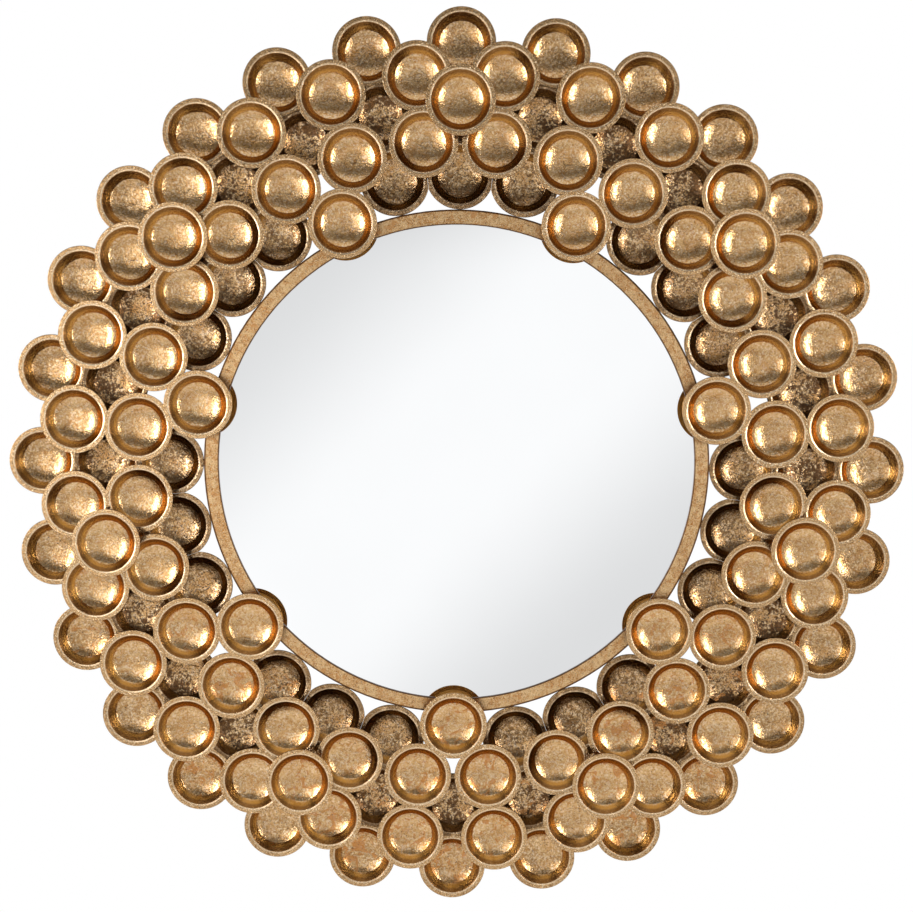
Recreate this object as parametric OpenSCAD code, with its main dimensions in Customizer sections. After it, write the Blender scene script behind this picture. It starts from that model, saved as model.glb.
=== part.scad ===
// Round wall mirror framed by layers of small dished metal discs.
// The mirror hangs upright: X is right, Z is up, and the glass faces -Y.
// The origin is the mirror's centre on the wall plane. Sizes are in millimetres.
// Each piece is modelled lying on its back, with height counted from the wall,
// and upright() then stands it up.

/* [Ring frame] */
// Outside diameter of the flat ring round the glass
ring_outer_d = 517; // [495:1:620]
// Width of the ring's front face
ring_face_w = 15; // [12:0.5:20]
// Sheet thickness of the ring
ring_sheet_t = 2; // [1:0.25:3]
// Gap between the ring's rear edge and the wall
ring_rear_gap = 2; // [0.5:0.5:4]
// Rounding of the ring's outer front edge
ring_edge_r = 1; // [0.4:0.1:1.4]

/* [Glass and board] */
// Thickness of the mirror glass
glass_t = 4; // [3:0.5:6]
// Ground arris on the edge of the glass
glass_arris = 0.6; // [0.2:0.1:1.2]
// Thickness of the backing board
board_t = 9; // [8:0.5:15]
// Gap all round between the ring's wall and the glass and board
edge_gap = 2; // [1:0.25:4]

/* [Dished discs] */
// Outside diameter of a disc
disc_d = 69.2; // [67:0.1:71]
// Height of a disc from its base to its lip
disc_h = 13.4; // [12.4:0.1:14.4]
// Sheet thickness of a disc
disc_sheet_t = 1.2; // [0.8:0.1:1.6]
// Width of the flat lip
lip_w = 4.4; // [4:0.1:5.4]
// Rounding from the lip down into the dish
lip_inner_round = 1.9; // [1.7:0.1:2.6]
// Rounding of the lip's outer edge
lip_outer_round = 0.5; // [0.2:0.1:0.7]
// Thickness of the floor at its centre
floor_t = 1.3; // [1.2:0.05:1.6]
// Radius of the dish's shallow floor
floor_r = 110; // [90:5:150]
// Diameter of the floor where the sweep begins
floor_d = 18; // [16:0.5:20]
// Radius of the sweep round the floor
sweep_r = 30; // [28:0.5:32]
// Diameter of the sweep where the heel begins
sweep_d = 44; // [42.4:0.1:44.4]
// Radius of the heel at the foot of the wall
heel_r = 2.5; // [1.5:0.25:3.5]
// Diameter of the flat foot under the dish
foot_d = 36; // [35.5:0.5:40]

/* [Layout of the discs] */
// Number of petals in the pattern, four spokes to each
petals = 7; // [6:1:7]
// Distance between neighbouring discs of one layer along a spoke
row_pitch = 65; // [63:0.5:68]
// Gap along the straight seam where two trimmed lips meet
seam_gap = 0.2; // [0.1:0.05:0.4]
// Gap between the ring's wall and the discs welded to it
weld_gap = 0.1; // [0.05:0.05:0.3]
// How far the front discs sit outward of the row below
front_disc_shift = 3.5; // [0:0.5:6]
// How far the middle discs sit inward of the seams below
middle_disc_shift = 1.5; // [0:0.5:3]
// Gap between a ring disc's bowl and the lips it laps over
ring_disc_gap = 0.1; // [0.1:0.1:1]

/* [Retaining clips and screws] */
// Number of clips that hold the board in the ring
clip_count = 8; // [6:1:12]
// Width of a clip
clip_w = 16; // [12:0.5:24]
// Length of the clip's foot on the board
clip_foot = 18; // [15:0.5:24]
// Sheet thickness of a clip
clip_t = 1.5; // [1:0.25:2]
// Gap between a clip's leg and the ring's wall
clip_wall_gap = 0.2; // [0.15:0.05:0.4]
// Diameter of a screw's shank
screw_d = 3.5; // [3:0.1:4]
// Diameter of a screw's head
screw_head_d = 7.4; // [6.5:0.1:8]
// Height of a screw's head
screw_head_h = 2.4; // [1.8:0.1:2.8]
// Length of a screw below its head
screw_l = 8.5; // [7:0.5:9]
// Gap round a screw's shank in its pilot hole
pilot_gap = 0.05; // [0.02:0.01:0.1]
// Gap round a screw's shank in the metal it holds
screw_play = 0.35; // [0.2:0.05:0.6]
// Width of the cross recess in a screw's head
recess_w = 1; // [0.6:0.1:1.4]

/* [Hangers] */
// Distance between the two hangers
hanger_spacing = 320; // [240:5:360]
// Height of the hangers' pivots above the mirror's centre
hanger_rise = 130; // [90:5:150]
// Width of a hanger's strap
strap_w = 12; // [10:0.5:14]
// Length of the strap below its pivot
strap_l = 46; // [42:0.5:54]
// Sheet thickness of the strap
strap_t = 1.5; // [1.2:0.1:2]
// Height of the pivot above the board
pivot_h = 3.5; // [3.4:0.05:3.8]
// Distance from the pivot to the strap's first screw
strap_screw_drop = 24; // [23:0.5:28]
// Distance between the strap's two screws
strap_screw_pitch = 15; // [12:0.5:18]
// Wire diameter of a hanger's ring
wire_d = 3; // [2.6:0.1:3.2]
// Running gap round the ring's wire in the strap's eye
eye_gap = 0.08; // [0.05:0.01:0.1]
// Inside width of a hanger's ring
loop_w = 20; // [18:0.5:24]
// Straight length of the legs of a hanger's ring
loop_leg = 4; // [2:0.5:6]

/* [Wall bumpers] */
// Number of rubber bumpers on the board
bumper_count = 4; // [3:1:6]
// Height of a bumper
bumper_h = 9.5; // [8.5:0.5:14]
// Diameter of a bumper at the board
bumper_base_d = 19; // [16:0.5:24]
// Diameter of a bumper at the wall
bumper_tip_d = 16; // [12:0.5:16]
// Rounding of a bumper's outer edge
bumper_edge_r = 1.5; // [0.5:0.25:2.5]
// Gap between the bumpers and the inner ends of the clips
bumper_gap = 3.8; // [1:0.2:20]

/* [Hidden] */
$fn = 72;

// Heights above the wall, from the back to the front
board_rear = bumper_h;
glass_rear = board_rear + board_t;
glass_front = glass_rear + glass_t;
ring_front = glass_front + ring_sheet_t;
back_base = ring_front - disc_sheet_t - disc_h;
middle_base = back_base + disc_h;
front_base = middle_base + disc_h;

// Radii of the ring, the glass and one disc
ring_r = ring_outer_d / 2;
ring_wall_r = ring_r - ring_sheet_t;
ring_open_r = ring_r - ring_face_w;
glass_r = ring_wall_r - edge_gap;
disc_r = disc_d / 2;
lip_r = disc_r - lip_w;

// Centres of the arcs in a disc's section, and how steep it is where they meet
floor_z = floor_t + floor_r;
floor_turn = asin(floor_d / 2 / floor_r);
sweep_x = (floor_r - sweep_r) * sin(floor_turn);
sweep_z = floor_z - (floor_r - sweep_r) * cos(floor_turn);
sweep_turn = asin((sweep_d / 2 - sweep_x) / sweep_r);
heel_x = sweep_x + (sweep_r - heel_r) * sin(sweep_turn);
heel_z = sweep_z - (sweep_r - heel_r) * cos(sweep_turn);
lip_round_z = disc_h - lip_inner_round;
wall_turn = asin((heel_r + lip_inner_round) / norm([lip_r - heel_x, lip_round_z - heel_z]))
    + atan2(lip_round_z - heel_z, lip_r - heel_x);

// Rows of discs, as distances from the mirror's centre
spoke_step = 90 / petals;
back_inner_row = ring_r + disc_r + weld_gap;
back_middle_row = back_inner_row + row_pitch;
back_outer_row = back_middle_row + row_pitch;
middle_inner_row = back_inner_row + row_pitch / 2 - middle_disc_shift;
middle_outer_row = middle_inner_row + row_pitch;
front_row = back_middle_row + front_disc_shift;
half_chord = middle_inner_row * sin(spoke_step / 2);
ring_disc_reach = disc_r + lip_r + ring_disc_gap;
ring_disc_row = middle_inner_row * cos(spoke_step / 2)
    - sqrt(pow(ring_disc_reach, 2) - pow(half_chord, 2));

// Fasteners and hangers
screw_r = screw_d / 2;
wire_r = wire_d / 2;
eye_r = wire_r + eye_gap;
clip_leg_r = ring_wall_r - clip_wall_gap;
clip_screw_r = clip_leg_r - clip_t - (clip_foot - clip_t) / 2;
clip_turn = 180 / clip_count;
bumper_r = clip_leg_r - clip_foot - bumper_gap - bumper_base_d / 2;
loop_r = loop_w / 2 + wire_r;
pivot_z = board_rear - pivot_h;
strap_screws = [strap_screw_drop, strap_screw_drop + strap_screw_pitch];

gold = [0.74, 0.60, 0.42];
deep_gold = [0.66, 0.52, 0.35];
silver = [0.86, 0.88, 0.89];
steel = [0.62, 0.63, 0.65];
fibreboard = [0.62, 0.48, 0.34];
rubber = [0.14, 0.14, 0.14];

sectors = [1 : petals];

// Stands a piece that was modelled on its back against the wall
module upright() {
    rotate([90, 0, 0]) children();
}

// Turns a piece clockwise from the top by a number of spokes
module at_spoke(spoke) {
    rotate([0, 0, -spoke * spoke_step]) children();
}

// Keeps the part of a half section that lies within a distance of the axis
module within(x) {
    intersection() {
        children();
        translate([0, -disc_h]) square([x, 3 * disc_h]);
    }
}

// Half section of the space above a dish's inner surface, grown outward by a distance
module dish_section(outward) {
    heel_edge = [
        heel_x + (heel_r + outward) * sin(wall_turn),
        heel_z - (heel_r + outward) * cos(wall_turn)
    ];
    wall_edge = [
        lip_r - (lip_inner_round - outward) * sin(wall_turn),
        lip_round_z + (lip_inner_round - outward) * cos(wall_turn)
    ];
    rim = disc_h - outward;
    within((floor_r + outward) * sin(floor_turn))
        translate([0, floor_z]) circle(r = floor_r + outward);
    within(sweep_x + (sweep_r + outward) * sin(sweep_turn))
        translate([sweep_x, sweep_z]) circle(r = sweep_r + outward);
    translate([heel_x, heel_z]) circle(r = heel_r + outward);
    polygon([
        [0, heel_z],
        [heel_x, heel_z],
        heel_edge,
        wall_edge,
        [wall_edge[0], 2 * disc_h],
        [0, 2 * disc_h]
    ]);
    difference() {
        polygon([
            [heel_x, wall_edge[1]],
            wall_edge,
            [lip_r, rim],
            [lip_r, 2 * disc_h],
            [heel_x, 2 * disc_h]
        ]);
        translate([lip_r, lip_round_z]) circle(r = lip_inner_round - outward);
    }
}

// Quarter round that eases an outward corner at a point
module corner_waste(x, z, r, side) {
    difference() {
        translate([side > 0 ? x - r : x, z - r]) square([r, 2 * r]);
        translate([side > 0 ? x - r : x + r, z - r]) circle(r = r);
    }
}

// Half section of a disc: a round-bottomed dish with a flat lip and a flat foot
module disc_section() {
    difference() {
        intersection() {
            union() {
                dish_section(disc_sheet_t);
                square([foot_d / 2, disc_h]);
                translate([heel_x, disc_h - disc_sheet_t]) square([disc_r - heel_x, disc_sheet_t]);
            }
            square([disc_r, disc_h]);
        }
        dish_section(0);
        corner_waste(disc_r, disc_h, lip_outer_round, 1);
    }
}

module disc() {
    rotate_extrude() disc_section();
}

// Half width of a disc's cell at a distance from the mirror's centre
function cell_half(y, shared) =
    shared ? y * tan(spoke_step / 2) - seam_gap / 2 : disc_d;

// Prism that a disc's lip is trimmed to where it meets its neighbours
module cell(row, inward, outward, left, right) {
    y0 = row - (inward ? (row_pitch - seam_gap) / 2 : disc_d);
    y1 = row + (outward ? (row_pitch - seam_gap) / 2 : disc_d);
    linear_extrude(height = disc_h) polygon([
        [-cell_half(y0, left), y0],
        [cell_half(y0, right), y0],
        [cell_half(y1, right), y1],
        [-cell_half(y1, left), y1]
    ]);
}

// One disc of a row, trimmed on the sides where it has a neighbour
module trimmed_disc(row, inward, outward, left = true, right = true) {
    intersection() {
        translate([0, row, 0]) disc();
        cell(row, inward, outward, left, right);
    }
}

// Spoke number of a place in a sector, counted from the sector's front disc
function spoke(sector, place) = 4 * (sector - 1) + place;

// The fourth spoke of a sector has no inner disc: a ring disc covers its place
module back_inner_discs(sector) {
    color(deep_gold) upright() for (place = [-1 : 1])
        at_spoke(spoke(sector, place)) translate([0, 0, back_base])
            trimmed_disc(back_inner_row, false, true, place > -1, place < 1);
}

module back_middle_discs(sector) {
    color(deep_gold) upright() for (place = [-1 : 2])
        at_spoke(spoke(sector, place)) translate([0, 0, back_base])
            trimmed_disc(back_middle_row, place < 2, true);
}

module back_outer_discs(sector) {
    color(deep_gold) upright() for (place = [-1 : 2])
        at_spoke(spoke(sector, place)) translate([0, 0, back_base])
            trimmed_disc(back_outer_row, true, false);
}

module middle_inner_discs(sector) {
    color(gold) upright() for (place = [-1.5 : 1.5])
        at_spoke(spoke(sector, place)) translate([0, 0, middle_base])
            trimmed_disc(middle_inner_row, false, true);
}

module middle_outer_discs(sector) {
    color(gold) upright() for (place = [-1.5 : 1.5])
        at_spoke(spoke(sector, place)) translate([0, 0, middle_base])
            trimmed_disc(middle_outer_row, true, false);
}

module front_disc(sector) {
    color(gold) upright() at_spoke(spoke(sector, 0))
        translate([0, front_row, front_base]) disc();
}

module ring_disc(sector) {
    color(gold) upright() at_spoke(spoke(sector, 2))
        translate([0, ring_disc_row, ring_front]) disc();
}

// Angle-section ring: a front face with a wall behind its outer edge
module ring_frame() {
    color(gold) upright() rotate_extrude($fn = 180) difference() {
        translate([ring_open_r, ring_rear_gap])
            square([ring_face_w, ring_front - ring_rear_gap]);
        translate([ring_open_r, ring_rear_gap])
            square([ring_face_w - ring_sheet_t, glass_front - ring_rear_gap]);
        corner_waste(ring_r, ring_front, ring_edge_r, 1);
        corner_waste(ring_open_r, ring_front, ring_edge_r / 2, -1);
    }
}

module mirror_glass() {
    color(silver) upright() rotate_extrude($fn = 180) polygon([
        [0, glass_rear],
        [glass_r - glass_arris, glass_rear],
        [glass_r, glass_rear + glass_arris],
        [glass_r, glass_front - glass_arris],
        [glass_r - glass_arris, glass_front],
        [0, glass_front]
    ]);
}

// Hole for a screw's shank, sunk into the back of the board
module pilot_hole(into) {
    translate([0, 0, board_rear - 1])
        cylinder(r = screw_r + pilot_gap, h = into + 1 + pilot_gap);
}

module at_clips() {
    for (k = [0 : clip_count - 1])
        rotate([0, 0, clip_turn + 360 * k / clip_count]) translate([0, clip_screw_r, 0]) children();
}

module at_strap_screws() {
    for (side = [-1, 1], drop = strap_screws)
        translate([side * hanger_spacing / 2, hanger_rise - drop, 0]) children();
}

module backing_board() {
    color(fibreboard) upright() difference() {
        translate([0, 0, board_rear]) cylinder(r = glass_r, h = board_t, $fn = 180);
        at_clips() pilot_hole(screw_l - clip_t);
        at_strap_screws() pilot_hole(screw_l - strap_t);
    }
}

// Pan-head screw driven towards the glass, its head resting at a height
module screw(seat) {
    translate([0, 0, seat]) cylinder(r = screw_r, h = screw_l);
    difference() {
        translate([0, 0, seat - screw_head_h]) rotate_extrude() intersection() {
            square([screw_head_d / 2, screw_head_h]);
            translate([0, screw_head_d]) circle(r = screw_head_d);
        }
        for (turn = [0, 90]) rotate([0, 0, turn])
            translate([-screw_head_d / 4, -recess_w / 2, seat - screw_head_h - 1])
                cube([screw_head_d / 2, recess_w, 1 + screw_head_h / 2]);
    }
}

// Angle clips: a foot screwed to the board and a leg tacked to the ring's wall
module retaining_clips() {
    foot_y = clip_leg_r - clip_screw_r;
    leg_h = board_rear - ring_rear_gap;
    color(steel) upright() at_clips() difference() {
        union() {
            translate([-clip_w / 2, foot_y - clip_foot, board_rear - clip_t])
                cube([clip_w, clip_foot, clip_t]);
            translate([-clip_w / 2, foot_y - clip_t, board_rear - leg_h])
                cube([clip_w, clip_t, leg_h]);
        }
        translate([0, 0, board_rear - clip_t - 1])
            cylinder(r = screw_r + screw_play, h = clip_t + 2);
    }
}

module clip_screws() {
    color(steel) upright() at_clips() screw(board_rear - clip_t);
}

module hanger_screws() {
    color(steel) upright() at_strap_screws() screw(board_rear - strap_t);
}

// Strap screwed to the board, its top rolled into an eye for the ring's wire
module hanger_strap(side) {
    color(steel) upright() translate([side * hanger_spacing / 2, hanger_rise, 0]) difference() {
        translate([-strap_w / 2, 0, 0]) rotate([90, 0, 90]) linear_extrude(height = strap_w)
            difference() {
                union() {
                    translate([-strap_l, board_rear - strap_t]) square([strap_l, strap_t]);
                    translate([0, pivot_z]) circle(r = eye_r + strap_t);
                }
                translate([0, pivot_z]) circle(r = eye_r);
            }
        for (drop = strap_screws) translate([0, -drop, board_rear - strap_t - 1])
            cylinder(r = screw_r + screw_play, h = strap_t + 2);
        for (corner = [-1, 1]) translate([corner * strap_w / 2, -strap_l, 0])
            rotate([0, 0, 45]) cube([strap_w / 3, strap_w / 3, 4 * bumper_h], center = true);
    }
}

// D-shaped wire ring that swings in the strap's eye, hanging straight down
module hanger_ring(side) {
    color(steel) upright() translate([side * hanger_spacing / 2, hanger_rise, pivot_z]) {
        translate([-loop_r, 0, 0]) rotate([0, 90, 0]) cylinder(r = wire_r, h = 2 * loop_r);
        for (x = [-loop_r, loop_r]) {
            translate([x, 0, 0]) sphere(r = wire_r);
            translate([x, 0, 0]) rotate([90, 0, 0]) cylinder(r = wire_r, h = loop_leg);
        }
        translate([0, -loop_leg, 0]) rotate([0, 0, 180])
            rotate_extrude(angle = 180) translate([loop_r, 0]) circle(r = wire_r);
    }
}

module wall_bumpers() {
    color(rubber) upright() for (k = [0 : bumper_count - 1])
        rotate([0, 0, 360 * k / bumper_count]) translate([0, bumper_r, 0])
            rotate_extrude() union() {
                polygon([
                    [0, bumper_edge_r],
                    [bumper_tip_d / 2, bumper_edge_r],
                    [bumper_base_d / 2, bumper_h],
                    [0, bumper_h]
                ]);
                square([bumper_tip_d / 2 - bumper_edge_r, bumper_edge_r]);
                intersection() {
                    translate([bumper_tip_d / 2 - bumper_edge_r, bumper_edge_r])
                        circle(r = bumper_edge_r);
                    square([bumper_tip_d / 2, bumper_edge_r]);
                }
            }
}

ring_frame();
mirror_glass();
backing_board();
retaining_clips();
clip_screws();
hanger_strap(-1);  // left_hanger_strap
hanger_strap(1);  // right_hanger_strap
hanger_ring(-1);  // left_hanger_ring
hanger_ring(1);  // right_hanger_ring
hanger_screws();
wall_bumpers();
for (s = sectors) {
    back_inner_discs(s);
    back_middle_discs(s);
    back_outer_discs(s);
    middle_inner_discs(s);
    middle_outer_discs(s);
    front_disc(s);
    ring_disc(s);
}
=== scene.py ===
"""Looks of the round wall mirror with its border of gilt dished discs.

The CAD nodes carry every shape. This script adds their finishes, the studio and the camera.
Distances are in metres in the CAD frame: X right, Z up, and the glass faces -Y.
"""

import math

import bpy
from mathutils import Matrix, Vector

MM = 0.001
PETALS = 7
SPOKES = 4 * PETALS
SPOKE_STEP = 2 * math.pi / SPOKES

# One disc, as in the CAD source: where its wall begins and ends, its lip and its shallow floor
WALL_FOOT_R = 22.5 * MM
WALL_TOP_R = 28.8 * MM
DISC_R = 34.6 * MM
FLOOR_CURVE_R = 110 * MM

# Where each zone of a disc's finish begins and is full, from the disc's axis
ON_WALL = (WALL_FOOT_R - 0.8 * MM, WALL_FOOT_R + 1.6 * MM)
# Where the painted shade on the wall towards the lip begins and is full
WALL_SHADE_ZONE = (WALL_FOOT_R + 2.2 * MM, WALL_TOP_R - 1.8 * MM)
ON_LIP = (WALL_TOP_R, WALL_TOP_R + 0.7 * MM)
# Where the painted shade along the lip's outer edge begins and is full
AT_RIM = (DISC_R - 0.6 * MM, DISC_R)
# Painted shade: over this span the browning deepens outwards on each disc's floor
SHADED_OUTWARDS_ZONE = (8 * MM, WALL_FOOT_R)
AT_AXIS = (3.5 * MM, 2.5 * MM)

# Painted highlight along the crest of a disc's lip, partly paler rubbed leaf: its middle,
# its half width and its soft edge
CREST_R = 29.95 * MM
CREST_HALF = 0.35 * MM
CREST_FADE = 0.6 * MM

# Rubbed patches are rare above the mirror's middle and most common from this height down
RUBBED_Z = -250 * MM
RUBBED_ABOVE = 0.2

# A normal's Y, towards the wall, where a disc's back begins and is full
BACK_FACING = (0.15, 0.45)

# The ring round the glass, and where the painted shade along its edges begins and is full, from each
# edge
RING_R = 258.5 * MM
OPENING_R = 243.5 * MM
OUTER_EDGE_SHADE = (2.3 * MM, 1.4 * MM)
INNER_EDGE_SHADE = (1.3 * MM, 0.5 * MM)

# Distances of the rows of discs from the centre, as in the CAD source, to 0.1 mm
ROW_PITCH = 65 * MM
WELD_GAP = 0.1 * MM
MIDDLE_DISC_SHIFT = 1.5 * MM
FRONT_DISC_SHIFT = 3.5 * MM
BACK_ROW_R = RING_R + DISC_R + WELD_GAP
MIDDLE_ROW_R = BACK_ROW_R + ROW_PITCH / 2 - MIDDLE_DISC_SHIFT
FRONT_ROW_R = BACK_ROW_R + ROW_PITCH + FRONT_DISC_SHIFT
RING_ROW_R = 268.4 * MM

# Rows of discs: material slot, distance from the centre, spokes between two discs,
# first spoke, how worn the leaf is and how brown it is, both from 0 to 1; the brown is partly
# aged leaf and partly painted shade, deepest on the rows that lie furthest under others
ROWS = {
    "back_inner_discs": ("gilt_back_discs", BACK_ROW_R, 1, 0, 0.85, 0.6),
    "back_middle_discs": ("gilt_back_discs", BACK_ROW_R + ROW_PITCH, 1, 0, 1.0, 0.9),
    "back_outer_discs": ("gilt_back_discs", BACK_ROW_R + 2 * ROW_PITCH, 1, 0, 0.5, 0.25),
    "middle_inner_discs": ("gilt_middle_discs", MIDDLE_ROW_R, 1, 0.5, 0.3, 0.05),
    "middle_outer_discs": ("gilt_middle_discs", MIDDLE_ROW_R + ROW_PITCH, 1, 0.5, 0.3, 0.05),
    "front_disc": ("gilt_front_discs", FRONT_ROW_R, 4, 0, 0.15, 0.0),
    "ring_disc": ("gilt_front_discs", RING_ROW_R, 4, 2, 0.15, 0.0),
}
ZINC_PIECES = (
    "retaining_clips",
    "clip_screws",
    "left_hanger_strap",
    "right_hanger_strap",
    "left_hanger_ring",
    "right_hanger_ring",
    "hanger_screws",
)

# Linear colours
PALE_LEAF = (0.82, 0.63, 0.42)
LEAF = (0.62, 0.395, 0.18)
DEEP_LEAF = (0.45, 0.214, 0.06)
BOLE = (0.47, 0.205, 0.06)
SPECK = (0.05, 0.028, 0.014)
# Aged brown leaf, also the painted shade of the rows under others and of the ring's edges
AGED_AND_SHADE = (0.082, 0.031, 0.009)
# Painted shade deep in the walls of the rows that lie under others
CREVICE_SHADE = (0.055, 0.018, 0.003)
GLAZE = (0.48, 0.225, 0.042)
# Glaze in painted shade, on the wall towards the lip
SHADED_GLAZE = (0.19, 0.075, 0.014)
LIP_LEAF = (0.56, 0.345, 0.16)
LIP_BRIGHT = (0.86, 0.67, 0.44)
LIP_PIT = (0.10, 0.042, 0.014)
RING_DISC_BACK = (0.36, 0.17, 0.04)
# Backs of the other discs, darker than the ring discs' backs as painted shade in the crevices between
# layers
SHADED_DISC_BACK = (0.17, 0.08, 0.025)
EDGE_TINT = (1.0, 0.82, 0.55)
GLASS_SHADES = ((0.955, 0.965, 0.975), (0.965, 0.975, 0.985))
BOARD_SHADES = ((0.20, 0.115, 0.055), (0.32, 0.20, 0.105))
BOARD_FLECK = (0.12, 0.065, 0.03)
ZINC_SHADES = ((0.34, 0.35, 0.36), (0.52, 0.53, 0.54))
RUBBER_SHADES = ((0.012, 0.012, 0.012), (0.026, 0.025, 0.025))
STUDIO_FLOOR_SHADES = ((0.80, 0.80, 0.79), (0.84, 0.84, 0.83))

# Clear varnish left on the pale flecks of the discs' leaf
VARNISH_IOR = 1.85
VARNISH_ROUGHNESS = 0.1

# Share of the varnish that a fully browned row has lost
VARNISH_LOST = 0.5

# Furthest that a disc's own pattern is shifted along each axis, in metres
PATTERN_SHIFT = (7.0, 7.0, 7.0)

# Discs and rows are numbered off the whole numbers for the random draw of their patterns
DISC_NUMBER_START = 0.5
ROW_SEED_START = 1.5

# Noises of the finishes: how many to a metre, detail, roughness, and distortion if it has any
CLOUD = (60, 4, 0.6)
PATCHES = (75, 5, 0.6, 1.2)
MOTTLE = (260, 4, 0.65, 0.4)
CRACKLE = (480, 2, 0.6, 0.3)
PITS = (800, 3, 0.7)
SPECKS = (850, 2, 0.6, 0.6)
GRIT = (1000, 1, 0.5)
GRAIN = (1300, 2, 0.6)
RING_CLOUD = (110, 3, 0.6)
RING_MOTTLE = (180, 4, 0.65, 0.5)
RING_PITS = (800, 2, 0.7)
RING_GRAIN = (900, 2, 0.6)
GLASS_HAZE = (9, 2, 0.5)
BOARD_FIBRES = (420, 4, 0.7)
BOARD_SPOTS = (1500, 2, 0.6)
ZINC_SPOTS = (320, 3, 0.6)
ZINC_GRAIN = (1800, 2, 0.6)
RUBBER_GRAIN = (1400, 3, 0.6)
STUDIO_FLOOR_CLOUD = (3, 2, 0.5)

# The board's fibres lie level: their noise changes three times as fast with height
FIBRE_SCALE = (1.0, 1.0, 3.0)

# Values of a noise where an effect begins and where it is full
NOISE_SPAN = (0.3, 0.7)
LEAF_SHADED = (0.28, 0.62)
LEAF_FLECKED = (0.42, 0.70)
LEAF_CLOUDED = (0.42, 0.7)
LEAF_VARNISHED = (0.47, 0.68)
PATCHED = (0.565, 0.575)
THIN_CLOUD = (0.56, 0.62)
THIN_MOTTLE = (0.50, 0.60)
LIP_FLECKED = (0.52, 0.66)
LIP_PITTED = (0.34, 0.43)
LIP_DEEPENED = (0.50, 0.66)
LIP_GRITTY = (0.56, 0.72)
WALL_FLECKED = (0.5, 0.68)
RING_SHADED = (0.36, 0.62)
RING_PALER = (0.47, 0.62)
RING_WORN_CLOUD = (0.57, 0.60)
RING_WORN_MOTTLE = (0.46, 0.52)
RING_HOLED = (0.42, 0.34)
BOARD_SHADED = (0.35, 0.65)
BOARD_FLECKED = (0.62, 0.7)
ZINC_SHADED = (0.35, 0.65)
RUBBER_SHADED = (0.4, 0.6)

# A disc's luck where its leaf begins to be rubbed and where it is fully so
PATCH_LUCK = (0.4, 0.6)
THIN_LUCK = (0.4, 0.9)

# The leaf browns where the mottle and these shares of other noises sum up low; it also
# darkens outwards on each disc's floor, which is painted shade
AGED_AND_SHADED_SPAN = (1.28, 1.08)
BROWNED_CLOUD = 1.1
BROWNED_CRACKLE = 0.25
BROWNED_GRAIN = 0.1
SHADE_OUTWARDS = 0.12

# Noise value where a speck begins on new leaf, what full wear and clouds take off it, and how
# far above it a speck is full
SPECK_EDGE = 0.72
SPECK_EDGE_WORN = 0.13
SPECK_EDGE_CLOUD = 0.08
SPECK_FADE = 0.035

# How far an effect changes the finish where it is full, from 0 to 1
PATCH_AMOUNT = 0.9
THIN_AMOUNT = 0.45
LIP_DEEP_AMOUNT = 0.4
RIM_SHADE_AMOUNT = 0.5
CREST_HIGHLIGHT_AMOUNT = 0.4
LIP_AGED_AND_SHADE_AMOUNT = 0.85
WALL_FLECK_AMOUNT = 0.4
WALL_AMOUNT = 0.9
SPECK_DULLS = 0.2
CREST_SMOOTHS = 0.7
RING_PALE_AMOUNT = 0.6
RING_WORN_AMOUNT = 0.7
RING_HOLE_AMOUNT = 0.8
RING_EDGE_SHADE_AMOUNT = 0.95

# The same for the flecks and clouds of the discs' floors: on new leaf, and what wear adds
FLECK_AMOUNT = (0.4, 0.4)
CLOUD_AMOUNT = (0.3, 0.4)

# Roughness of the smoothest and the roughest places, and what some places of the discs add
LEAF_ROUGHNESS = (0.12, 0.19)
BACK_ROUGHER = 0.2
RUBBED_ROUGHER = 0.15
WALL_ROUGHER = 0.08
RING_ROUGHNESS = (0.26, 0.38)
GLASS_ROUGHNESS = (0.004, 0.012)
BOARD_ROUGHNESS = (0.75, 0.9)
ZINC_ROUGHNESS = (0.26, 0.42)
RUBBER_ROUGHNESS = (0.55, 0.75)
STUDIO_FLOOR_ROUGHNESS = 0.8

# Depth of the relief: on new discs, what browning adds to it, and on the other pieces
DISC_RELIEF = 0.24 * MM
BROWN_RELIEF = 0.2 * MM
RING_RELIEF = 0.4 * MM
BOARD_RELIEF = 0.1 * MM
ZINC_RELIEF = 0.02 * MM
RUBBER_RELIEF = 0.03 * MM

# How strongly a noise counts in the relief, where the discs' crackle counts as 1
GRAIN_HEIGHT = 0.25
GRIT_HEIGHT = 1.5
RING_MOTTLE_HEIGHT = 0.7
RING_GRAIN_HEIGHT = 0.5

# The studio's floor and the screen round its front
FLOOR_Z = -1.25
FLOOR_HALF_W = 3.0
FLOOR_FRONT_Y = -4.0
FLOOR_BACK_Y = 1.4
FLOOR_GLOW = 0.4
SCREEN_R = 3.0
SCREEN_TOP_Z = 6.5
SCREEN_SIDE_DEGREES = 120
SCREEN_PANELS = 24

# Brightness of the screen, where 1 is white: it dims and brightens again with height,
# and falls off on both sides of a diagonal band
SCREEN_LEVEL = 1.0
SCREEN_DIM_LEVEL = 0.5
SCREEN_TOP_LEVEL = 1.3
SCREEN_DIM_Z = (0.35, 1.3)
SCREEN_BRIGHT_Z = (2.4, 4.4)
SCREEN_FALL = 0.25
BAND_OFFSET = 0.22
BAND_HALF = 0.25
BAND_FADE = 1.15

# Brightness of the surroundings, where 1 is white: as light, and as seen behind the mirror,
# with the Y of a ray's direction where that begins and is full
WORLD_LEVEL = 0.35
WALL_LEVEL = 0.15
TOWARDS_WALL = (-0.1, 0.2)

# Soft lights: azimuth and elevation in degrees, distance, width, height and brightness
LIGHTS = {
    "left_softbox": (-54, 5, 2.4, 0.55, 1.15, 11.0),
    "left_glow": (-30, 4, 2.5, 0.9, 1.2, 1.3),
    "right_softbox": (50, 5, 2.4, 0.46, 1.15, 11.0),
    "back_fill": (180, 30, 2.5, 1.6, 1.6, 1.9),
}

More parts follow.
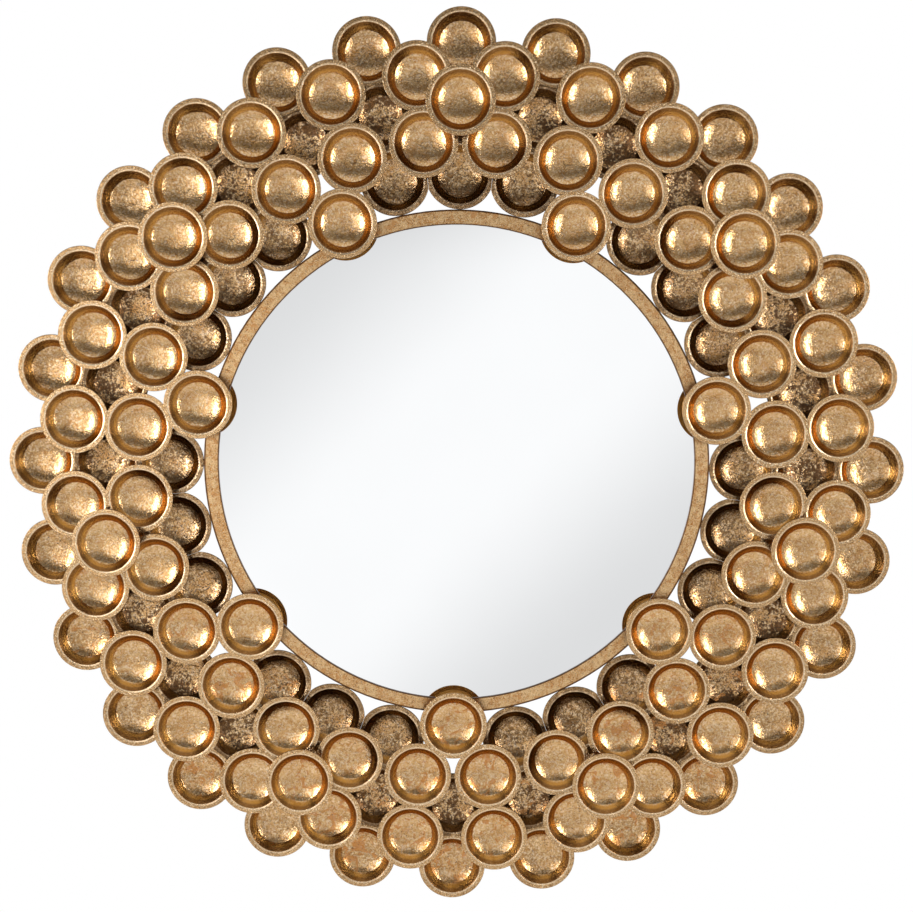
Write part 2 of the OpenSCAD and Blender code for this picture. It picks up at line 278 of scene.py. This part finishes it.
# The camera, fitted to the centres of the photographed discs
CAMERA_PLACE = (0.001, -1.3, 0.119)
CAMERA_DOWN = math.radians(4.9)
CAMERA_TURN = math.radians(0.05)
CAMERA_ROLL = math.radians(0.67)
LENS_MM = 49.4
SENSOR_MM = 36


class Nodes:
    """Short forms for building one node tree. A value is a number, a tuple or another socket."""

    def __init__(self, tree):
        self.tree = tree
        tree.nodes.clear()

    def add(self, kind, **settings):
        node = self.tree.nodes.new(kind)
        for name, value in settings.items():
            setattr(node, name, value)
        return node

    def put(self, socket, value):
        if isinstance(value, bpy.types.NodeSocket):
            self.tree.links.new(value, socket)
        elif socket.type == "RGBA":
            socket.default_value = (*value, 1)
        else:
            socket.default_value = value

    def put_all(self, node, values):
        for socket, value in zip(node.inputs, values):
            self.put(socket, value)
        return node

    def math(self, operation, *values):
        return self.put_all(self.add("ShaderNodeMath", operation=operation), values).outputs[0]

    def times(self, first, *others):
        for other in others:
            first = self.math("MULTIPLY", first, other)
        return first

    def plus(self, first, *others):
        for other in others:
            first = self.math("ADD", first, other)
        return first

    def minus(self, a, b):
        return self.math("SUBTRACT", a, b)

    def rest(self, value):
        """What a value from 0 to 1 leaves of 1."""
        return self.minus(1.0, value)

    def most(self, a, b):
        return self.math("MAXIMUM", a, b)

    def vector(self, operation, *values):
        node = self.put_all(self.add("ShaderNodeVectorMath", operation=operation), values)
        return node.outputs["Value" if operation == "LENGTH" else "Vector"]

    def combine(self, x=0.0, y=0.0, z=0.0):
        return self.put_all(self.add("ShaderNodeCombineXYZ"), (x, y, z)).outputs[0]

    def split(self, vector):
        return self.put_all(self.add("ShaderNodeSeparateXYZ"), (vector,)).outputs

    def blend(self, kind, amount, a, b):
        """Mix of two colours, kind RGBA, or of two vectors, kind VECTOR."""
        node = self.add("ShaderNodeMix", data_type=kind)
        self.put(node.inputs["Factor"], amount)
        for name, value in (("A", a), ("B", b)):
            self.put(next(s for s in node.inputs if s.name == name and s.type == kind), value)
        return next(s for s in node.outputs if s.type == kind)

    def mix(self, amount, a, b):
        """Colour between two colours."""
        return self.blend("RGBA", amount, a, b)

    def mix_directions(self, amount, a, b):
        """Unit vector between two vectors."""
        return self.vector("NORMALIZE", self.blend("VECTOR", amount, a, b))

    def ramp(self, value, low, high, out_low=0.0, out_high=1.0):
        """Smooth step of a value from low to high."""
        node = self.add("ShaderNodeMapRange", interpolation_type="SMOOTHSTEP")
        return self.put_all(node, (value, low, high, out_low, out_high)).outputs[0]

    def place(self):
        """A point's place in the CAD frame, also on a piece that a pose has moved."""
        return self.add("ShaderNodeTexCoord").outputs["Object"]

    def noise(self, vector, per_metre, detail, roughness, distortion=0.0):
        node = self.add("ShaderNodeTexNoise")
        self.put(node.inputs["Vector"], vector)
        self.put(node.inputs["Scale"], per_metre)
        self.put(node.inputs["Detail"], detail)
        self.put(node.inputs["Roughness"], roughness)
        self.put(node.inputs["Distortion"], distortion)
        return node.outputs[0]

    def bump(self, height, distance, normal=None):
        node = self.add("ShaderNodeBump")
        self.put(node.inputs["Strength"], 1.0)
        self.put(node.inputs["Distance"], distance)
        self.put(node.inputs["Height"], height)
        if normal is not None:
            self.put(node.inputs["Normal"], normal)
        return node.outputs[0]

    def ray_kinds(self):
        """Whether a ray is straight from the camera, and whether it was mirrored or let through."""
        path = self.add("ShaderNodeLightPath").outputs
        return path["Is Camera Ray"], self.most(path["Is Glossy Ray"], path["Is Transmission Ray"])

    def surface(self, shade, kind="Material"):
        output = self.add("ShaderNodeOutput" + kind)
        self.tree.links.new(shade.outputs[0], output.inputs["Surface"])

    def shader(self, **values):
        """Principled shader whose inputs are given with underscores for spaces."""
        node = self.add("ShaderNodeBsdfPrincipled")
        for name, value in values.items():
            self.put(node.inputs[name.replace("_", " ")], value)
        self.surface(node)


def new_material(name):
    material = bpy.data.materials.new(name)
    material.use_nodes = True
    return material, Nodes(material.node_tree)


class DiscFinish:
    """Antique leaf on one row of discs, with a different wear on every disc."""

    def __init__(self, row_name, row_seed):
        self.row_name = row_name
        self.slot, row_r, spokes_apart, first_spoke, self.wear, self.brown_and_shade = ROWS[row_name]
        self.material, self.n = new_material(row_name + "_leaf")
        self.find_own_disc(row_r, spokes_apart, first_spoke, row_seed)
        self.find_zones()
        self.lay_noises()
        self.find_wear()
        self.build()

    def find_own_disc(self, row_r, spokes_apart, first_spoke, row_seed):
        """A point's distance from its own disc's axis, the normal that the disc's shallow floor
        has there, the disc's luck from 0 to 1 and a place shifted by another amount on each disc."""
        n = self.n
        place = n.place()
        x, _, self.up = n.split(place)
        step = SPOKE_STEP * spokes_apart
        first_turn = SPOKE_STEP * first_spoke
        turn = n.math("ARCTAN2", x, self.up)
        number = n.math("ROUND", n.math("DIVIDE", n.minus(turn, first_turn), step))
        angle = n.plus(n.times(number, step), first_turn)
        across = n.minus(x, n.times(n.math("SINE", angle), row_r))
        along = n.minus(self.up, n.times(n.math("COSINE", angle), row_r))
        self.reach = n.vector("LENGTH", n.combine(across, along))
        self.floor_normal = n.combine(
            n.math("DIVIDE", across, -FLOOR_CURVE_R), -1.0, n.math("DIVIDE", along, -FLOOR_CURVE_R)
        )
        count = n.math("MODULO", n.plus(number, float(SPOKES)), float(SPOKES / spokes_apart))
        random = n.add("ShaderNodeTexWhiteNoise", noise_dimensions="2D")
        n.put(random.inputs["Vector"], n.combine(n.plus(count, DISC_NUMBER_START), row_seed))
        self.luck = random.outputs["Value"]
        shift = n.vector("MULTIPLY", random.outputs["Color"], PATTERN_SHIFT)
        self.grain_place = n.vector("ADD", place, shift)

    def find_zones(self):
        """Where the lip, the lip's crest, the wall and the disc's back are, each from 0 to 1."""
        n, reach = self.n, self.reach
        self.on_lip = n.ramp(reach, *ON_LIP)
        self.on_wall = n.times(n.ramp(reach, *ON_WALL), n.rest(self.on_lip))
        from_crest = n.math("ABSOLUTE", n.minus(reach, CREST_R))
        self.crest = n.ramp(from_crest, CREST_HALF + CREST_FADE, CREST_HALF)
        self.true_normal = n.add("ShaderNodeNewGeometry").outputs["Normal"]
        self.behind = n.ramp(n.split(self.true_normal)[1], *BACK_FACING)

    def lay_noises(self):
        """Noises that several parts of the finish share, shifted by another amount on each disc."""
        n, place = self.n, self.grain_place
        self.cloud = n.noise(place, *CLOUD)
        self.patches = n.noise(place, *PATCHES)
        self.mottle = n.noise(place, *MOTTLE)
        self.crackle = n.noise(place, *CRACKLE)
        self.pits = n.noise(place, *PITS)
        self.specks = n.noise(place, *SPECKS)
        self.grit = n.noise(place, *GRIT)
        self.grain = n.noise(place, *GRAIN)

    def find_wear(self):
        """Browned places, both aged leaf and painted shade, rubbed and specked places of the leaf
        and the lip's flecks, each from 0 to 1.
        """
        n = self.n
        aging_and_shade = n.plus(self.mottle, n.times(self.cloud, BROWNED_CLOUD))
        aging_and_shade = n.plus(aging_and_shade, n.times(self.crackle, BROWNED_CRACKLE))
        aging_and_shade = n.plus(aging_and_shade, n.times(self.grain, BROWNED_GRAIN))
        aging_and_shade = n.minus(aging_and_shade, n.ramp(self.reach, *SHADED_OUTWARDS_ZONE, 0.0, SHADE_OUTWARDS))
        # Painted shade: the brown rows, the ones furthest under others, are darkened most
        self.aged_and_shaded = n.times(n.ramp(aging_and_shade, *AGED_AND_SHADED_SPAN), self.brown_and_shade)

        low_down = n.ramp(self.up, 0.0, RUBBED_Z, RUBBED_ABOVE, 1.0)
        patch = n.times(n.ramp(self.patches, *PATCHED), n.ramp(self.luck, *PATCH_LUCK), low_down)
        thin = n.times(n.ramp(self.cloud, *THIN_CLOUD), n.ramp(self.mottle, *THIN_MOTTLE))
        thin = n.times(thin, n.ramp(self.luck, *THIN_LUCK, 0.0, THIN_AMOUNT))
        self.rubbed = n.most(thin, n.times(patch, PATCH_AMOUNT))

        worn_edge = SPECK_EDGE - SPECK_EDGE_WORN * self.wear
        speck_edge = n.minus(worn_edge, n.times(self.cloud, SPECK_EDGE_CLOUD))
        self.specked = n.ramp(n.minus(self.specks, speck_edge), 0.0, SPECK_FADE)
        self.lip_flecks = n.ramp(self.pits, *LIP_FLECKED)

    def floor_colour(self):
        n = self.n
        flecks = n.ramp(self.crackle, *LEAF_FLECKED)
        clouded = n.ramp(self.cloud, *LEAF_CLOUDED)
        colour = n.mix(n.ramp(self.mottle, *LEAF_SHADED), DEEP_LEAF, LEAF)
        fleck_amount = FLECK_AMOUNT[0] + FLECK_AMOUNT[1] * self.wear
        colour = n.mix(n.times(flecks, fleck_amount), colour, PALE_LEAF)
        cloud_amount = CLOUD_AMOUNT[0] + CLOUD_AMOUNT[1] * self.wear
        colour = n.mix(n.times(clouded, cloud_amount), colour, DEEP_LEAF)
        # Aged brown leaf and painted shade of the rows under others
        colour = n.mix(self.aged_and_shaded, colour, AGED_AND_SHADE)
        colour = n.mix(self.rubbed, colour, BOLE)
        return n.mix(self.specked, colour, SPECK)

    def lip_colour(self):
        n = self.n
        rim_shade = n.ramp(self.reach, *AT_RIM)
        colour = n.mix(n.ramp(self.pits, *LIP_PITTED), LIP_PIT, LIP_LEAF)
        colour = n.mix(self.lip_flecks, colour, LIP_BRIGHT)
        deepened = n.ramp(self.mottle, *LIP_DEEPENED)
        colour = n.mix(n.times(deepened, LIP_DEEP_AMOUNT), colour, DEEP_LEAF)
        # Painted shade: a dark line along the lip's outer edge, where the discs meet
        colour = n.mix(n.times(rim_shade, RIM_SHADE_AMOUNT), colour, LIP_PIT)
        # Painted highlight along the lip's crest, partly paler rubbed leaf
        colour = n.mix(n.times(self.crest, CREST_HIGHLIGHT_AMOUNT), colour, LIP_BRIGHT)
        # Aged brown leaf and painted shade on the lips of the rows under others
        return n.mix(n.times(self.aged_and_shaded, LIP_AGED_AND_SHADE_AMOUNT), colour, AGED_AND_SHADE)

    def wall_colour(self):
        """Glaze gathered on the wall, with painted shade towards the lip and on the rows under others.
        """
        n = self.n
        colour = n.mix(n.ramp(self.reach, *WALL_SHADE_ZONE), GLAZE, SHADED_GLAZE)
        flecks = n.ramp(self.crackle, *WALL_FLECKED)
        colour = n.mix(n.times(flecks, WALL_FLECK_AMOUNT), colour, DEEP_LEAF)
        # Painted shade: the walls of the rows under others darken, most on the deepest rows
        return n.mix(self.brown_and_shade**2, colour, CREVICE_SHADE)

    def colour(self):
        n = self.n
        colour = n.mix(n.times(self.on_wall, WALL_AMOUNT), self.floor_colour(), self.wall_colour())
        colour = n.mix(self.on_lip, colour, self.lip_colour())
        # The backs of the discs other than the ring discs carry painted shade of the crevices between
        # layers
        return n.mix(self.behind, colour, RING_DISC_BACK if self.row_name == "ring_disc" else SHADED_DISC_BACK)

    def varnish(self):
        """Varnish on the floor's flecks and on the lip's flecks and crest, less on brown rows."""
        n = self.n
        flecks = n.ramp(self.crackle, *LEAF_VARNISHED)
        on_floor = n.times(flecks, n.rest(self.on_wall), n.rest(self.on_lip))
        varnish = n.plus(on_floor, n.times(n.most(self.lip_flecks, self.crest), self.on_lip))
        varnish = n.times(varnish, n.rest(n.most(self.behind, self.aged_and_shaded)))
        return n.times(varnish, 1.0 - VARNISH_LOST * self.brown_and_shade)

    def roughness(self):
        n = self.n
        roughness = n.ramp(self.mottle, *NOISE_SPAN, *LEAF_ROUGHNESS)
        roughness = n.plus(roughness, n.times(self.behind, BACK_ROUGHER))
        roughness = n.plus(roughness, n.times(self.rubbed, RUBBED_ROUGHER))
        return n.plus(roughness, n.times(self.on_wall, WALL_ROUGHER))

    def relief(self):
        """Normal of the leaf's crackle and of the lip's grit, with a smooth floor at the axis,
        where the mesh's thin triangles meet."""
        n = self.n
        grit = n.times(n.ramp(self.grit, *LIP_GRITTY), self.on_lip)
        height = n.plus(self.crackle, n.times(self.grain, GRAIN_HEIGHT))
        height = n.plus(height, n.times(grit, GRIT_HEIGHT))
        height = n.times(height, n.rest(n.times(self.crest, CREST_SMOOTHS)))
        at_axis = n.times(n.ramp(self.reach, *AT_AXIS), n.rest(self.behind))
        normal = n.mix_directions(at_axis, self.true_normal, self.floor_normal)
        return n.bump(height, DISC_RELIEF + BROWN_RELIEF * self.brown_and_shade, normal)

    def build(self):
        n = self.n
        n.shader(
            Base_Color=self.colour(),
            Metallic=n.rest(n.times(self.specked, SPECK_DULLS)),
            Roughness=self.roughness(),
            Specular_Tint=EDGE_TINT,
            Coat_Weight=self.varnish(),
            Coat_IOR=VARNISH_IOR,
            Coat_Roughness=VARNISH_ROUGHNESS,
            Normal=self.relief(),
        )


def gilt_ring_material():
    """Hand-laid leaf on the ring, worn to the bole in spots, with pinholes and painted edge shade."""
    material, n = new_material("ring_leaf")
    place = n.place()
    x, _, z = n.split(place)
    reach = n.vector("LENGTH", n.combine(x, z))
    mottle = n.noise(place, *RING_MOTTLE)
    cloud = n.noise(place, *RING_CLOUD)
    grain = n.noise(place, *RING_GRAIN)
    worn = n.times(n.ramp(cloud, *RING_WORN_CLOUD), n.ramp(mottle, *RING_WORN_MOTTLE))
    pinholes = n.ramp(n.noise(place, *RING_PITS), *RING_HOLED)
    outer_edge_shade = n.ramp(reach, RING_R - OUTER_EDGE_SHADE[0], RING_R - OUTER_EDGE_SHADE[1])
    inner_edge_shade = n.ramp(reach, OPENING_R + INNER_EDGE_SHADE[0], OPENING_R + INNER_EDGE_SHADE[1])
    colour = n.mix(n.ramp(mottle, *RING_SHADED), DEEP_LEAF, LEAF)
    colour = n.mix(n.times(n.ramp(grain, *RING_PALER), RING_PALE_AMOUNT), colour, PALE_LEAF)
    colour = n.mix(n.times(worn, RING_WORN_AMOUNT), colour, BOLE)
    colour = n.mix(n.times(pinholes, RING_HOLE_AMOUNT), colour, LIP_PIT)
    # Painted shade along the ring's outer and inner edges
    colour = n.mix(n.times(n.most(outer_edge_shade, inner_edge_shade), RING_EDGE_SHADE_AMOUNT), colour, AGED_AND_SHADE)
    height = n.plus(n.times(mottle, RING_MOTTLE_HEIGHT), n.times(grain, RING_GRAIN_HEIGHT))
    n.shader(
        Base_Color=colour,
        Metallic=1.0,
        Roughness=n.ramp(mottle, *NOISE_SPAN, *RING_ROUGHNESS),
        Normal=n.bump(height, RING_RELIEF),
    )
    return material


def mirror_material():
    """Silvered glass with a faint haze."""
    material, n = new_material("silvered_glass")
    haze = n.noise(n.place(), *GLASS_HAZE)
    n.shader(
        Base_Color=n.mix(n.ramp(haze, *NOISE_SPAN), *GLASS_SHADES),
        Metallic=1.0,
        Roughness=n.ramp(haze, *NOISE_SPAN, *GLASS_ROUGHNESS),
    )
    return material


def board_material():
    """Raw fibreboard with short fibres."""
    material, n = new_material("raw_fibreboard")
    place = n.place()
    fibres = n.noise(n.vector("MULTIPLY", place, FIBRE_SCALE), *BOARD_FIBRES)
    flecks = n.ramp(n.noise(place, *BOARD_SPOTS), *BOARD_FLECKED)
    colour = n.mix(n.ramp(fibres, *BOARD_SHADED), *BOARD_SHADES)
    n.shader(
        Base_Color=n.mix(flecks, colour, BOARD_FLECK),
        Roughness=n.ramp(fibres, *NOISE_SPAN, *BOARD_ROUGHNESS),
        Normal=n.bump(fibres, BOARD_RELIEF),
    )
    return material


def zinc_material():
    """Bright zinc plate, slightly uneven, with dull spots."""
    material, n = new_material("zinc_plate")
    place = n.place()
    spots = n.noise(place, *ZINC_SPOTS)
    n.shader(
        Base_Color=n.mix(n.ramp(spots, *ZINC_SHADED), *ZINC_SHADES),
        Metallic=1.0,
        Roughness=n.ramp(spots, *NOISE_SPAN, *ZINC_ROUGHNESS),
        Normal=n.bump(n.noise(place, *ZINC_GRAIN), ZINC_RELIEF),
    )
    return material


def rubber_material():
    """Matt black rubber with a fine moulded grain."""
    material, n = new_material("black_rubber")
    grain = n.noise(n.place(), *RUBBER_GRAIN)
    n.shader(
        Base_Color=n.mix(n.ramp(grain, *RUBBER_SHADED), *RUBBER_SHADES),
        Roughness=n.ramp(grain, *NOISE_SPAN, *RUBBER_ROUGHNESS),
        Normal=n.bump(grain, RUBBER_RELIEF),
    )
    return material


def dress(name, material):
    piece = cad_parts[name]
    piece.material_slots[0].material = material


def dress_all():
    for seed, row_name in enumerate(ROWS):
        finish = DiscFinish(row_name, ROW_SEED_START + seed)
        for petal in range(1, PETALS + 1):
            dress(f"{row_name}_{petal}", finish.material)
    dress("ring_frame", gilt_ring_material())
    dress("mirror_glass", mirror_material())
    dress("backing_board", board_material())
    dress("wall_bumpers", rubber_material())
    zinc = zinc_material()
    for name in ZINC_PIECES:
        dress(name, zinc)


def direction(azimuth, elevation):
    """Unit vector out of the glass's side: azimuth to the right and elevation up, in degrees."""
    a, e = math.radians(azimuth), math.radians(elevation)
    return Vector((math.sin(a) * math.cos(e), -math.cos(a) * math.cos(e), math.sin(e)))


def soft_light(name, azimuth, elevation, distance, width, height, level):
    """Rectangular soft light that looks at the mirror's centre; level is its own brightness."""
    data = bpy.data.lights.new(name, "AREA")
    data.shape = "RECTANGLE"
    data.size, data.size_y = width, height
    data.energy = level * math.pi * width * height
    light = bpy.data.objects.new(name, data)
    light.location = direction(azimuth, elevation) * distance
    light.rotation_euler = (-light.location).to_track_quat("-Z", "Y").to_euler()
    light.visible_camera = False
    bpy.context.scene.collection.objects.link(light)


def stage_piece(name, corners, faces, material):
    """A piece of the studio, which isn't part of the mirror."""
    mesh = bpy.data.meshes.new(name)
    mesh.from_pydata(corners, [], faces)
    mesh.materials.append(material)
    piece = bpy.data.objects.new(name, mesh)
    bpy.context.scene.collection.objects.link(piece)
    return piece


def white_world():
    """White to the camera and in reflections, but dim behind the mirror, where a wall would be."""
    world = bpy.data.worlds.new("studio")
    world.use_nodes = True
    bpy.context.scene.world = world
    n = Nodes(world.node_tree)
    toward = n.split(n.add("ShaderNodeTexCoord").outputs["Generated"])
    from_camera, mirrored = n.ray_kinds()
    in_mirror = n.times(mirrored, n.ramp(toward[1], *TOWARDS_WALL, 1.0, WALL_LEVEL))
    seen = n.most(from_camera, in_mirror)
    lighting = n.rest(n.most(from_camera, mirrored))
    shade = n.add("ShaderNodeBackground")
    n.put(shade.inputs["Color"], (1.0, 1.0, 1.0))
    n.put(shade.inputs["Strength"], n.plus(seen, n.times(lighting, WORLD_LEVEL)))
    n.surface(shade, "World")


def pale_floor():
    """Floor well below the mirror, out of the camera's frame."""
    material, n = new_material("pale_floor")
    mirrored = n.ray_kinds()[1]
    n.shader(
        Base_Color=n.mix(n.noise(n.place(), *STUDIO_FLOOR_CLOUD), *STUDIO_FLOOR_SHADES),
        Roughness=STUDIO_FLOOR_ROUGHNESS,
        Emission_Color=(1.0, 1.0, 1.0),
        Emission_Strength=n.times(mirrored, FLOOR_GLOW),
    )
    corners = [
        (-FLOOR_HALF_W, FLOOR_FRONT_Y, FLOOR_Z),
        (FLOOR_HALF_W, FLOOR_FRONT_Y, FLOOR_Z),
        (FLOOR_HALF_W, FLOOR_BACK_Y, FLOOR_Z),
        (-FLOOR_HALF_W, FLOOR_BACK_Y, FLOOR_Z),
    ]
    stage_piece("floor", corners, [(0, 1, 2, 3)], material)


def screen_material():
    """Plain glow: white below, dimmer above, and brightest along a diagonal band."""
    material, n = new_material("studio_screen")
    x, _, z = n.split(n.place())
    level = n.ramp(z, *SCREEN_DIM_Z, SCREEN_LEVEL, SCREEN_DIM_LEVEL)
    level = n.plus(level, n.ramp(z, *SCREEN_BRIGHT_Z, 0.0, SCREEN_TOP_LEVEL - SCREEN_DIM_LEVEL))
    from_band = n.math("ABSOLUTE", n.minus(x, n.plus(z, BAND_OFFSET)))
    level = n.minus(level, n.ramp(from_band, BAND_HALF, BAND_FADE, 0.0, SCREEN_FALL))
    glow = n.add("ShaderNodeEmission")
    n.put(glow.inputs["Strength"], level)
    n.surface(glow)
    return material


def studio_screen():
    """Upright screen round the front of the studio, only seen in the glass and the gilding."""
    corners, faces = [], []
    for k in range(SCREEN_PANELS + 1):
        a = math.radians(SCREEN_SIDE_DEGREES * (2 * k / SCREEN_PANELS - 1))
        for z in (FLOOR_Z, SCREEN_TOP_Z):
            corners.append((SCREEN_R * math.sin(a), -SCREEN_R * math.cos(a), z))
        if k:
            faces.append((2 * k - 2, 2 * k, 2 * k + 1, 2 * k - 1))
    screen = stage_piece("studio_screen", corners, faces, screen_material())
    for ray in ("camera", "diffuse", "shadow", "transmission"):
        setattr(screen, "visible_" + ray, False)


def make_camera():
    """Camera at the photograph's place: a little above the centre, looking slightly down."""
    data = bpy.data.cameras.new("camera")
    data.lens = LENS_MM
    data.sensor_width = SENSOR_MM
    camera = bpy.data.objects.new("camera", data)
    aim = Matrix.Rotation(CAMERA_TURN, 4, "Z") @ Matrix.Rotation(math.pi / 2 - CAMERA_DOWN, 4, "X")
    camera.matrix_world = Matrix.Translation(CAMERA_PLACE) @ aim @ Matrix.Rotation(CAMERA_ROLL, 4, "Z")
    bpy.context.scene.collection.objects.link(camera)
    bpy.context.scene.camera = camera


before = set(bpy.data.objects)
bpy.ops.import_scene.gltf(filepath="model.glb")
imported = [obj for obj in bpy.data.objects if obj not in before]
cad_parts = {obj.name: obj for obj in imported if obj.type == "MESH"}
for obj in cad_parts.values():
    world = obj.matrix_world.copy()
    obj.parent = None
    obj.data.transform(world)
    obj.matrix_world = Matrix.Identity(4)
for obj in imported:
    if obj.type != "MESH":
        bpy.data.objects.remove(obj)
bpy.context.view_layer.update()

dress_all()
white_world()
pale_floor()
studio_screen()
for light_name, light_values in LIGHTS.items():
    soft_light(light_name, *light_values)
make_camera()
bpy.context.scene.view_settings.view_transform = "Standard"
